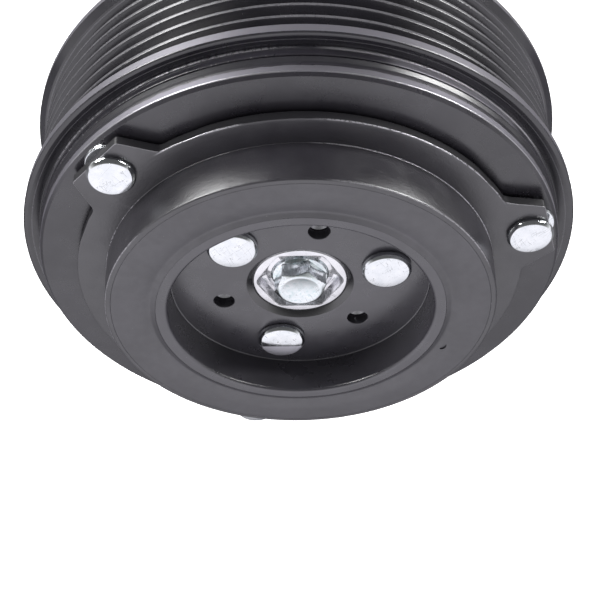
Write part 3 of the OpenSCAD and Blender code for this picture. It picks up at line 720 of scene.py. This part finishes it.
friction_back = rotor_front - 5.5
bearing_r = 27.5
bearing_stop = 29.29
bearing_pocket_back = 6.2
ring_slot = (7.97, 9.27)
ring_slot_r = 28.6
slot_w = 1.8
slot_sweep = 46.0
rotor = thing("rotor", lathe(soften([
    (25.5, bearing_stop, 0.2), (25.5, rotor_front, 0.3), (rotor_r, rotor_front, 0.3), (rotor_r, step_z + 0.75, 0.1),
    (rotor_r + 0.4, step_z + 0.45, 0.3), (rotor_r + 0.4, step_z + SEAT), (wall_r - SEAT, step_z + SEAT),
    (wall_r - SEAT, pulley_back, 0.3), (50.4, pulley_back, 0.4), (50.4, friction_back, 1.2),
    (32.0, friction_back, 1.2), (32.0, bearing_pocket_back, 0.5), (bearing_r, bearing_pocket_back, 0.5),
    (bearing_r, ring_slot[0], 0.1), (ring_slot_r, ring_slot[0], 0.1), (ring_slot_r, ring_slot[1], 0.1),
    (bearing_r, ring_slot[1], 0.1), (bearing_r, bearing_stop)
])))
slots = Shape()
for at, first in ((37.4, 0.0), (47.2, 30.0)):
    slots.add(around(arc_slot(at, slot_w, slot_sweep, friction_back - 1, rotor_front + 1), 6, first))
carve(rotor, slots)
piece(rotor, "rotor", rotor_paint, ["rotor_body"])

# ---------- armature ----------

armature = thing("armature", lathe(soften([
    (27.0, armature_back, 0.3), (armature_r, armature_back, 0.15), (band_r, armature_back + 1.05, 0.15),
    (band_r, armature_front - edge_cut, 0.14), (band_r - edge_cut, armature_front, 0.12), (27.0, armature_front, 0.5)
])))
holes = around(arc_slot(42.1, slot_w, slot_sweep, armature_back - 1, armature_front + 1), 6)
holes.add(around(prism(disc(shank_r + SEAT), armature_back - 1, armature_front + 1), 3, rivet_angle, lobe_rivet_at))
holes.add(around(prism(disc(4.42), armature_back - 1, armature_back + 0.9), 3, rivet_angle, lobe_rivet_at))
carve(armature, holes)
piece(armature, "armature", armature_paint, ["armature_plate"])


def resampled(line, step):
    """Points no further apart than step along a closed line."""
    out = []
    for i, p in enumerate(line):
        q = line[(i + 1) % len(line)]
        parts = max(1, math.ceil(math.hypot(q[0] - p[0], q[1] - p[1]) / step))
        for k in range(parts):
            t = k / parts
            out.append((p[0] + (q[0] - p[0]) * t, p[1] + (q[1] - p[1]) * t))
    return out


def lobed_outline():
    """Round plate edge with three straight-sided lobes, as a closed line of points."""
    reach, corner_a, root_a = 54.0, 7.5, 13.0
    line = []
    for k in range(3):
        mid = rivet_angle + 120 * k
        for side in (-1, 1):
            root = math.radians(mid + side * root_a)
            tip = math.radians(mid + side * corner_a)
            tip_r = reach / math.cos(math.radians(corner_a))
            near = math.radians(mid + side * (root_a + 4))
            points = [(lobed_r * math.cos(near), lobed_r * math.sin(near), 0),
                      (lobed_r * math.cos(root), lobed_r * math.sin(root), 2.2),
                      (tip_r * math.cos(tip), tip_r * math.sin(tip), 0.9)]
            line += points if side < 0 else points[::-1]
        for step in range(5, 34):
            a = math.radians(mid + root_a + (120 - 2 * root_a) * step / 38)
            line.append((lobed_r * math.cos(a), lobed_r * math.sin(a), 0))
    return resampled(soften(line), 1.0)


def inset(line, by):
    """The closed line moved inwards."""
    out = []
    n = len(line)
    for i in range(n):
        (ax, ay), (bx, by_) = line[i - 1], line[(i + 1) % n]
        tx, ty = bx - ax, by_ - ay
        length = math.hypot(tx, ty)
        out.append((line[i][0] - ty / length * by, line[i][1] + tx / length * by))
    return out


def lobed_shape():
    edge = lobed_outline()
    angles = [math.atan2(y, x) for x, y in edge]
    loops = []

    def at_outline(by, z):
        loops.append([(x, y, z) for x, y in inset(edge, by)])

    def at_radius(r, z):
        loops.append([(r * math.cos(a), r * math.sin(a), z) for a in angles])

    rim = 0.16
    for k in range(5):
        a = math.pi / 2 * k / 4
        at_outline(rim * (1 - math.sin(a)), lobed_back + rim * (1 - math.cos(a)))
    for k in range(5):
        a = math.pi / 2 * k / 4
        at_outline(rim * (1 - math.cos(a)), lobed_front - rim * (1 - math.sin(a)))
    at_outline(0.7, lobed_front)
    collar = soften([(44.5, lobed_front), (collar_r, lobed_front, 0.12), (collar_r, collar_end - 6.0, 9.0),
                     (collar_r - 0.22, collar_end - 1.5, 9.0), (collar_r - 0.3, collar_end, 0.5),
                     (collar_in_r, collar_end, 0.06), (collar_in_r, lobed_back, 2.4), (44.5, lobed_back)], False)
    for r, z in collar:
        at_radius(r, z)
    return loft(loops, True)


lobed = thing("lobed_plate_and_collar", lobed_shape())
carve(lobed, around(prism(disc(shank_r + SEAT), lobed_back - 1, lobed_front + 1), 3, rivet_angle, lobe_rivet_at))
piece(lobed, "armature", lobed_paint, ["lobed_plate"])


def rivet_profile(head_r, base_z, top_z):
    """Half outline of a flat rivet head with a rolled edge and a faint dome."""
    h = top_z - base_z
    return [(0.0, top_z), (head_r * 0.55, top_z - 0.02), (head_r - 0.55, top_z - 0.09, 0.5),
            (head_r - 0.02, top_z - 0.75, 0.45), (head_r, base_z + 0.35, 0.3), (head_r - 0.35, base_z, 0.1)]


sleeve = soften(rivet_profile(lobe_head_r, lobed_front, head_top) + [
    (shank_r, lobed_front), (shank_r, lobed_back - 0.01), (5.3, lobed_back - 0.01, 0.2),
    (5.5, armature_front + 0.01, 0.2), (shank_r, armature_front + 0.01), (shank_r, armature_back + 1.5),
    (4.4, armature_back + 0.1), (0.0, armature_back + 0.1)], False)
lobe_rivets = thing("lobe_rivets", around(lathe(sleeve, 96, False), 3, rivet_angle, lobe_rivet_at))
piece(lobe_rivets, "armature", zinc, ["armature_rivets"])

# ---------- rubber ring ----------

rubber_front = collar_end - SEAT
dish_r = 36.4
valley_r = 31.95
dish = 0.5


def dished(r):
    """Front of the rubber ring, which dips into a shallow valley before the cup's lip."""
    return collar_end - dish * ((dish_r - r) / (dish_r - valley_r)) ** 2


damper = thing("rubber_ring", lathe(soften([
    (cup_r + SEAT, rubber_back, 0.5), (collar_in_r - SEAT, rubber_back, 0.5),
    (collar_in_r - SEAT, rubber_front, 0.08),
    (38.9, collar_end, 2.0)] + [(r, dished(r)) for r in (dish_r, 35.6, 34.8, 34.1, 33.4, 32.7)]
    + [(valley_r, dished(valley_r), 2.0), (cup_r + SEAT, cup_lip)])))
# the small half-round mark that the moulding gate left
gate = [(33.2 + 0.95 * math.sin(math.pi * k / 16), 1.2 * math.cos(math.pi * k / 16)) for k in range(17)]
carve(damper, prism(gate, rubber_front - 0.45, rubber_front + 1).moved(turn=-21.0))
piece(damper, "damper", rubber, ["damper_rubber"])

# ---------- inner cup ----------

cup = thing("inner_cup_wall", lathe(soften([
    (boss_r + 0.05, cup_back, 0.2), (cup_r, cup_back, cup_wall), (cup_r, cup_lip, 0.1), (cup_in_r, cup_lip, 0.8),
    (cup_in_r, floor_z, 0.3), (boss_r + 1.45, floor_z, 0.55), (boss_r + 0.05, floor_z - 1.0, 0.25)
])))
holes = around(prism(disc(shank_r + SEAT), cup_back - 1, floor_z + 1), 3, rivet_angle, hub_rivet_at)


def stepped_hole(r, z0, z1):
    """Cutter for a puller hole, a little wider in front than at its back."""
    return lathe([(0.0, z0), (r, z0), (r, z0 + 1.1), (r + 0.08, z0 + 1.1), (r + 0.08, z1 - 0.1),
                  (r + 0.2, z1 + 0.02), (r + 0.2, z1 + 0.6), (0.0, z1 + 0.6)], 64, False)


holes.add(around(stepped_hole(puller_r, cup_back - 0.6, floor_z), 3, rivet_angle + 60, puller_at))
carve(cup, holes)
piece(cup, "hub", cup_paint, ["inner_cup"])

hub_sleeve = soften(rivet_profile(hub_head_r, floor_z, hub_head_top) + [
    (shank_r, floor_z), (shank_r, flange_back), (4.6, flange_back, 0.2), (4.6, flange_back - 1.1, 0.3),
    (4.0, flange_back - 1.7, 0.3), (0.0, flange_back - 1.7)], False)
hub_rivets = thing("cup_rivets", around(lathe(hub_sleeve, 96, False), 3, rivet_angle, hub_rivet_at))
piece(hub_rivets, "hub", cup_zinc, ["hub_rivets"])

# ---------- hub boss ----------

boss = thing("boss", lathe(soften([
    (0.0, boss_back), (12.0, boss_back, 0.8), (12.0, flange_back, 0.8), (flange_r, flange_back, 0.4),
    (flange_r, flange_front, 0.4), (boss_r, flange_front, 0.3), (boss_r, boss_end, 0.35), (0.0, boss_end)
], False), 288, False))


def hex_outline(flat, corner_r, soft, turn=0.0, n=144):
    """Hexagon of half width flat across its flats, with corners cut at corner_r and rounded."""
    out = []
    for i in range(n):
        a = 2 * math.pi * i / n
        folded = (math.degrees(a) - turn) % 60.0 - 30.0
        r = flat / math.cos(math.radians(folded))
        out.append(-soft * math.log(math.exp(-r / soft) + math.exp(-corner_r / soft)))
    return [(r * math.cos(2 * math.pi * i / n), r * math.sin(2 * math.pi * i / n)) for i, r in enumerate(out)]


pocket = []
for flat, corner, z in ((8.5, 9.55, boss_end + 0.5), (8.5, 9.5, boss_end + 0.01), (8.33, 9.33, boss_end - 0.2),
                        (8.25, 9.25, pocket_z + 1.1), (8.1, 9.0, pocket_z + 0.45), (7.75, 8.3, pocket_z + 0.1),
                        (7.3, 7.6, pocket_z)):
    pocket.append([(x, y, z) for x, y in hex_outline(flat, corner, 0.16)])
spline_teeth = 22
spline = []
for k in range(spline_teeth):
    for r, off in ((6.9, -0.75), (6.92, -0.52), (7.7, -0.36), (7.7, 0.36), (6.92, 0.52), (6.9, 0.75)):
        a = 2 * math.pi * k / spline_teeth + off / r
        spline.append((r * math.cos(a), r * math.sin(a)))
holes = around(prism(disc(shank_r + SEAT), flange_back - 1, flange_front + 1), 3, rivet_angle, hub_rivet_at)
ledge = [(0.0, flange_back - 1), (1.2, flange_back - 1), (1.2, flange_front - 0.55),
         (puller_r - 0.05, flange_front - 0.05), (puller_r - 0.05, flange_front + 1), (0.0, flange_front + 1)]
holes.add(around(lathe(ledge, 64, False), 3, rivet_angle + 60, puller_at))
carve(boss, loft(pocket))
carve(boss, prism(spline, boss_back - 1, pocket_z - 3))
carve(boss, prism(disc(3.3), pocket_z - 5, pocket_z + 1))
carve(boss, holes)
seat_ring = lathe(soften([(6.25, pocket_z - 0.5), (7.3, pocket_z - 0.5), (7.3, pocket_z + 0.75, 0.3),
                          (6.25, pocket_z + 1.1, 0.1)]), 192)
carve(boss, seat_ring, "UNION")


def boss_look():
    """Turned steel ring with a cast, grainy texture in the corners of its hexagon pocket."""
    m = Look("boss steel", 61.0)
    color = m.mix(m.spread(m.noise(0.5, 4.0), 0.3, 0.7), (0.76, 0.76, 0.78), (0.92, 0.92, 0.94))
    front = m.maths("LESS_THAN", m.y, -boss_end + 0.12)
    corner = m.maths("COSINE", m.maths("MULTIPLY", m.turn, 6.0))
    deep = m.maths("MULTIPLY", m.spread(corner, 0.35, 0.75), m.maths("SUBTRACT", 1.0, front))
    inside = m.maths("MULTIPLY", deep, m.maths("LESS_THAN", m.r, 9.6))
    grain = m.noise(2.4, 4.0, 0.75)
    m.bump(m.maths("MULTIPLY", grain, inside), 0.32)
    m.bump(m.maths("MULTIPLY", m.turned(8.0), front), 0.006)
    m.bump(m.noise(1.6, 4.0, 0.7), 0.006)
    color = m.mix(m.maths("MULTIPLY", inside, m.spread(grain, 0.4, 0.7)), color, (0.30, 0.30, 0.31))
    color = m.mix(m.maths("GREATER_THAN", m.r, boss_r + 0.5), color, (0.26, 0.26, 0.27))
    rough = m.blend(inside, m.spread(m.noise(1.0, 4.0), 0.3, 0.7, 0.14, 0.3), 0.42)
    return m.done(color, rough, 1.0)


piece(boss, "hub", boss_look(), ["hub_boss"])

# ---------- shaft bolt ----------


def bolt_loops():
    n = 144
    hexagon = hex_outline(5.0, 5.72, 0.05, 12.0, n)
    seat = pocket_z + SEAT
    thread_crest, thread_root, thread_pitch, thread_len = 3.0, 2.62, 1.0, 7.0
    bolt_flange_r = 6.2
    loops = []

    def circle(r, z):
        loops.append([(r * math.cos(2 * math.pi * i / n), r * math.sin(2 * math.pi * i / n), z) for i in range(n)])

    def cut_hex(cone_r, z):
        ring = []
        for x, y in hexagon:
            r = math.hypot(x, y)
            k = min(r, cone_r) / r
            ring.append((x * k, y * k, z))
        loops.append(ring)

    circle(0.001, bolt_back)
    circle(2.4, bolt_back)
    circle(2.95, bolt_back + 0.55)
    z = bolt_back + 0.7
    while z < bolt_back + thread_len:
        circle(thread_crest, z)
        circle(thread_crest, z + 0.12)
        circle(thread_root, z + 0.46)
        circle(thread_root, z + 0.54)
        z += thread_pitch
    circle(2.65, z + 0.1)
    circle(2.65, seat)
    circle(5.9, seat)
    circle(6.14, seat + 0.1)
    circle(bolt_flange_r, seat + 0.35)
    circle(bolt_flange_r, seat + 0.8)
    circle(6.08, seat + 1.08)
    circle(5.95, seat + 1.3)
    circle(5.9, seat + 1.6)
    cut_hex(9, seat + 1.75)
    cut_hex(9, bolt_top - 0.95)
    for k in range(9):
        cut_hex(5.85 - 1.2 * k / 8, bolt_top - 0.8 + 0.75 * k / 8)
    circle(4.5, bolt_top)
    circle(4.0, bolt_top)
    circle(3.75, bolt_top - 0.08)
    circle(0.001, bolt_top - 0.08)
    return loops


bolt = thing("shaft_bolt", loft(bolt_loops()))
piece(bolt, "hub", bolt_zinc, ["hub_bolt"], 28.0)

# ---------- looks of the pieces at the back ----------

phosphate = paint("coil phosphate", 71.0, (0.035, 0.035, 0.038), (0.075, 0.075, 0.08), (0.38, 0.5), 0.01, 0.6, 0.04)
spring = plated("spring steel", 73.0, (0.10, 0.10, 0.105), (0.2, 0.2, 0.21), rough=(0.25, 0.4))
ground = plated("bearing steel", 79.0, (0.66, 0.66, 0.67), (0.8, 0.8, 0.81), rough=(0.08, 0.18), lines=0.003,
                pits=0.02)
seal = moulded("seal rubber", 83.0, (0.012, 0.012, 0.013), (0.03, 0.03, 0.031), rough=(0.45, 0.6), lines=0.02)
nylon = moulded("bobbin nylon", 89.0, (0.52, 0.46, 0.34), (0.68, 0.62, 0.48), rough=(0.4, 0.55), grain=2.5)
cage = moulded("cage nylon", 97.0, (0.42, 0.30, 0.16), (0.56, 0.42, 0.24), rough=(0.4, 0.55), grain=3.0)
resin = moulded("potting resin", 101.0, (0.012, 0.011, 0.010), (0.035, 0.03, 0.026), rough=(0.15, 0.32), grain=0.4,
                relief=0.12, coat=0.4)
cover = moulded("wire cover", 103.0, (0.012, 0.012, 0.013), (0.028, 0.028, 0.03), rough=(0.3, 0.42), grain=1.0,
                relief=0.01)
shell_plastic = moulded("connector plastic", 107.0, (0.045, 0.045, 0.048), (0.075, 0.075, 0.08), rough=(0.38, 0.5),
                        grain=3.2, relief=0.03)
brass = plated("terminal brass", 109.0, (0.62, 0.46, 0.18), (0.82, 0.66, 0.34), rough=(0.15, 0.3))
copper = wound("copper winding")

# ---------- connector ----------

plug_low, plug_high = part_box("connector_housing")
plug_w, plug_h, plug_len = (plug_high - plug_low) / MM
plug_top = plug_high.z / MM
plug_mid = -(plug_low.y + plug_high.y) / 2 / MM
plug_waist = 0.6
socket_floor = 6.0
socket_wall = 1.6
lead_x = 2.2
lead_hole_r = 1.42


def rounded(w, h, r):
    """Outline of a rectangle with rounded corners."""
    line = []
    for k, (sx, sy) in enumerate([(1, 1), (-1, 1), (-1, -1), (1, -1)]):
        for i in range(7):
            a = math.radians(90 * k + 15 * i)
            line.append((sx * (w / 2 - r) + r * math.cos(a), sy * (h / 2 - r) + r * math.sin(a)))
    return line


def hung(shape):
    """A shape drawn along z from the wire end of the connector, hung downwards."""
    turned = Shape()
    turned.verts = [(x, plug_top - z, plug_mid + y) for x, y, z in shape.verts]
    turned.faces = list(shape.faces)
    return turned


def block(x0, x1, y0, y1, z0, z1):
    return prism([(x0, y0), (x1, y0), (x1, y1), (x0, y1)], z0, z1)


def plug_shell():
    """The housing, with a band round each end and a waist between them."""
    steps = [(0.5, 0.0), (0.15, 0.12), (0.0, 0.5), (0.0, 3.0), (0.15, 3.25), (plug_waist, 3.4), (plug_waist, 16.2),
             (0.15, 16.35), (0.0, 16.6), (0.0, plug_len - 0.25), (0.25, plug_len)]
    return hung(loft([[(x, y, z) for x, y in rounded(plug_w - 2 * inset, plug_h - 2 * inset, 2 - inset)]
                      for inset, z in steps]))


def plug_grips():
    """Grip ribs on the wide faces and rails on the narrow ones."""
    grips = Shape()
    for side in (-1, 1):
        deep, high = side * (plug_h / 2 - 1.2), side * (plug_h / 2 - 0.12)
        for k in range(4):
            z = 4.4 + 1.3 * k
            grips.add(block(-4.6, 4.6, min(deep, high), max(deep, high), z, z + 0.6))
        deep, high = side * (plug_w / 2 - 1.2), side * (plug_w / 2 - 0.12)
        for y in (-2.4, 1.6):
            grips.add(block(min(deep, high), max(deep, high), y, y + 0.8, 3.2, 16.5))
    return hung(grips)


def plug_latch():
    """A ramped catch on the rear face."""
    back = -plug_h / 2
    ramp = [(back + 1.2, 10.4), (back + 0.02, 10.4), (back + 0.02, 11.6), (back + plug_waist, 15.0),
            (back + 1.2, 15.0)]
    return hung(loft([[(x, y, z) for y, z in ramp] for x in (-2.3, 2.3)]))


plug = thing("connector", plug_shell())
carve(plug, plug_grips(), "UNION")
carve(plug, plug_latch(), "UNION")
carve(plug, hung(prism(rounded(plug_w - 2 * socket_wall, plug_h - 2 * socket_wall, 1.0), socket_floor, plug_len + 1)))
for lead in (-lead_x, lead_x):
    carve(plug, hung(prism([(lead + x, y) for x, y in disc(lead_hole_r, 32)], -1, socket_floor + 1)))
bevelled(plug, 0.14, 2, 40)
evaluated(plug)
piece(plug, "field_coil", shell_plastic, ["connector_housing"])

# ---------- carried-over nodes ----------

# CAD nodes shown as they are: each one's look, and its small rounding in millimetres.
CARRIED = {
    "coil_mounting_plate": (phosphate, 0.35), "coil_shell": (phosphate, 0.35),
    "coil_plate_rivets": (turned_steel, 0.2), "coil_bobbin": (nylon, 0.15), "coil_winding": (copper, 0.0),
    "coil_potting": (resin, 0.0), "coil_lead_wires": (cover, 0.0), "lead_grommet": (seal, 0.3),
    "connector_terminals": (brass, 0.12), "coil_locating_pin": (turned_steel, 0.2),
    "coil_snap_ring": (spring, 0.15), "bearing_inner_ring": (ground, 0.12), "rotor_retaining_ring": (spring, 0.15),
    "bearing_outer_ring": (ground, 0.12), "bearing_front_seal": (seal, 0.05), "bearing_rear_seal": (seal, 0.05),
    "bearing_snap_ring": (spring, 0.15), "bearing_balls": (ground, 0.0), "bearing_cages": (cage, 0.0),
    "air_gap_shims": (ground, 0.0),
}
for node, (look, edge) in CARRIED.items():
    obj = frame["nodes"][node]
    obj.data.materials.clear()
    obj.data.materials.append(look)
    for polygon in obj.data.polygons:
        polygon.material_index = 0
        polygon.use_smooth = True
    weld = obj.modifiers.new("weld", "WELD")
    weld.merge_threshold = 1e-6
    if edge:
        bevelled(obj, edge, 3, 35)
    even = obj.modifiers.new("even", "WEIGHTED_NORMAL")
    even.keep_sharp = True

# ---------- floor, light and camera ----------


def floor():
    """White to the camera. To what the clutch mirrors it glows as painted light, darkened beneath the clutch as a
    painted shadow and a little darker to the right.
    """
    obj = thing("floor", prism([(-6000, -6000), (6000, -6000), (6000, 6000), (-6000, 6000)], -1, 0))
    obj.rotation_euler = (math.radians(-90), 0, 0)
    obj.location = (0, 0, -0.32)
    m = Look("floor white")
    seen = m.add("LightPath").outputs["Is Camera Ray"]
    shade = m.mix(m.noise(0.002, 2.0), (0.80, 0.795, 0.81), (0.84, 0.835, 0.85))
    m.done(m.mix(seen, (0.08, 0.08, 0.085), shade), 0.6, 0.0)
    m.set("Specular IOR Level", m.blend(seen, 0.0, 0.4))
    where = m.add("SeparateXYZ", {0: m.add("NewGeometry").outputs["Position"]}).outputs
    # Painted shadow: the floor's glow drops beneath the clutch and a little to the right.
    level = m.maths("MULTIPLY", m.spread(where[1], -0.12, -0.33, 0.12, 0.98),
                    m.spread(where[0], -0.15, 0.15, 1.03, 0.96))
    m.set("Emission Color", m.mix(seen, (1.0, 0.985, 1.05), (1.0, 1.0, 1.0)))
    m.set("Emission Strength", m.blend(seen, level, 0.95))
    obj.data.materials.append(m.mat)


floor()


CLUTCH_MIDDLE = Vector((0.0, -0.04, 0.0))


def panel(name, towards, distance, size, power):
    """A softbox, seen from the object in direction towards."""
    data = bpy.data.lights.new(name, "AREA")
    data.shape = "RECTANGLE"
    data.size, data.size_y = size
    data.energy = power
    obj = bpy.data.objects.new(name, data)
    bpy.context.scene.collection.objects.link(obj)
    way = Vector(towards).normalized()
    obj.location = CLUTCH_MIDDLE + way * distance
    obj.rotation_mode = "QUATERNION"
    obj.rotation_quaternion = way.to_track_quat("Z", "Y")
    return obj


panel("left glow", (-0.60, 0.58, 0.56), 0.9, (0.40, 0.42), 5.0)
panel("right glow", (0.70, 0.57, 0.42), 0.9, (0.22, 0.28), 1.5)
panel("left softbox", (-0.75, 0.0, 0.66), 0.9, (0.3, 0.3), 5.0)
panel("right softbox", (0.78, 0.06, 0.62), 0.9, (0.3, 0.36), 7.0)
panel("front fill", (-0.2, -0.9, 0.35), 1.2, (0.8, 0.8), 3.0).visible_glossy = False


def world():
    sky = bpy.data.worlds.new("studio")
    bpy.context.scene.world = sky
    sky.use_nodes = True
    tree = sky.node_tree
    tree.nodes.clear()

    def add(kind, **props):
        node = tree.nodes.new("ShaderNode" + kind)
        for key, value in props.items():
            setattr(node, key, value)
        return node

    way = add("TexCoord")
    split = add("SeparateXYZ")
    tree.links.new(way.outputs["Generated"], split.inputs[0])
    ramp = add("ValToRGB")
    tree.links.new(split.outputs[2], ramp.inputs[0])
    points = [(0.0, 0.80), (0.12, 0.46), (0.34, 0.13), (1.0, 0.09)]
    ramp.color_ramp.elements[0].position = points[0][0]
    ramp.color_ramp.elements[1].position = points[-1][0]
    for place, _ in points[1:-1]:
        ramp.color_ramp.elements.new(place)
    for element, (_, level) in zip(ramp.color_ramp.elements, points):
        element.color = (level, level, level * 1.02, 1)
    room = add("Background")
    tree.links.new(ramp.outputs[0], room.inputs[0])
    backdrop = add("Background")
    backdrop.inputs[0].default_value = (1.0, 1.0, 1.0, 1)
    seen = add("LightPath")
    pick = add("MixShader")
    out = add("OutputWorld")
    tree.links.new(seen.outputs["Is Camera Ray"], pick.inputs[0])
    tree.links.new(room.outputs[0], pick.inputs[1])
    tree.links.new(backdrop.outputs[0], pick.inputs[2])
    tree.links.new(pick.outputs[0], out.inputs[0])


world()

camera_data = bpy.data.cameras.new("camera")
camera_data.lens = 69.88
camera_data.sensor_width = 36.0
camera_data.clip_start = 0.01
camera_data.clip_end = 50.0
camera = bpy.data.objects.new("camera", camera_data)
bpy.context.scene.collection.objects.link(camera)
right = Vector((0.99980643, -0.01967496, 0.0))
up = Vector((0.01541146, 0.78315149, 0.62163995))
back = right.cross(up)
camera.matrix_world = Matrix((
    (right.x, up.x, back.x, -0.00318446), (right.y, up.y, back.y, -0.20443891),
    (right.z, up.z, back.z, 0.19505604), (0, 0, 0, 1)))
bpy.context.scene.camera = camera

settings = bpy.context.scene.view_settings
settings.view_transform = "Standard"
settings.look = "None"
settings.exposure = 0.0
settings.gamma = 1.0
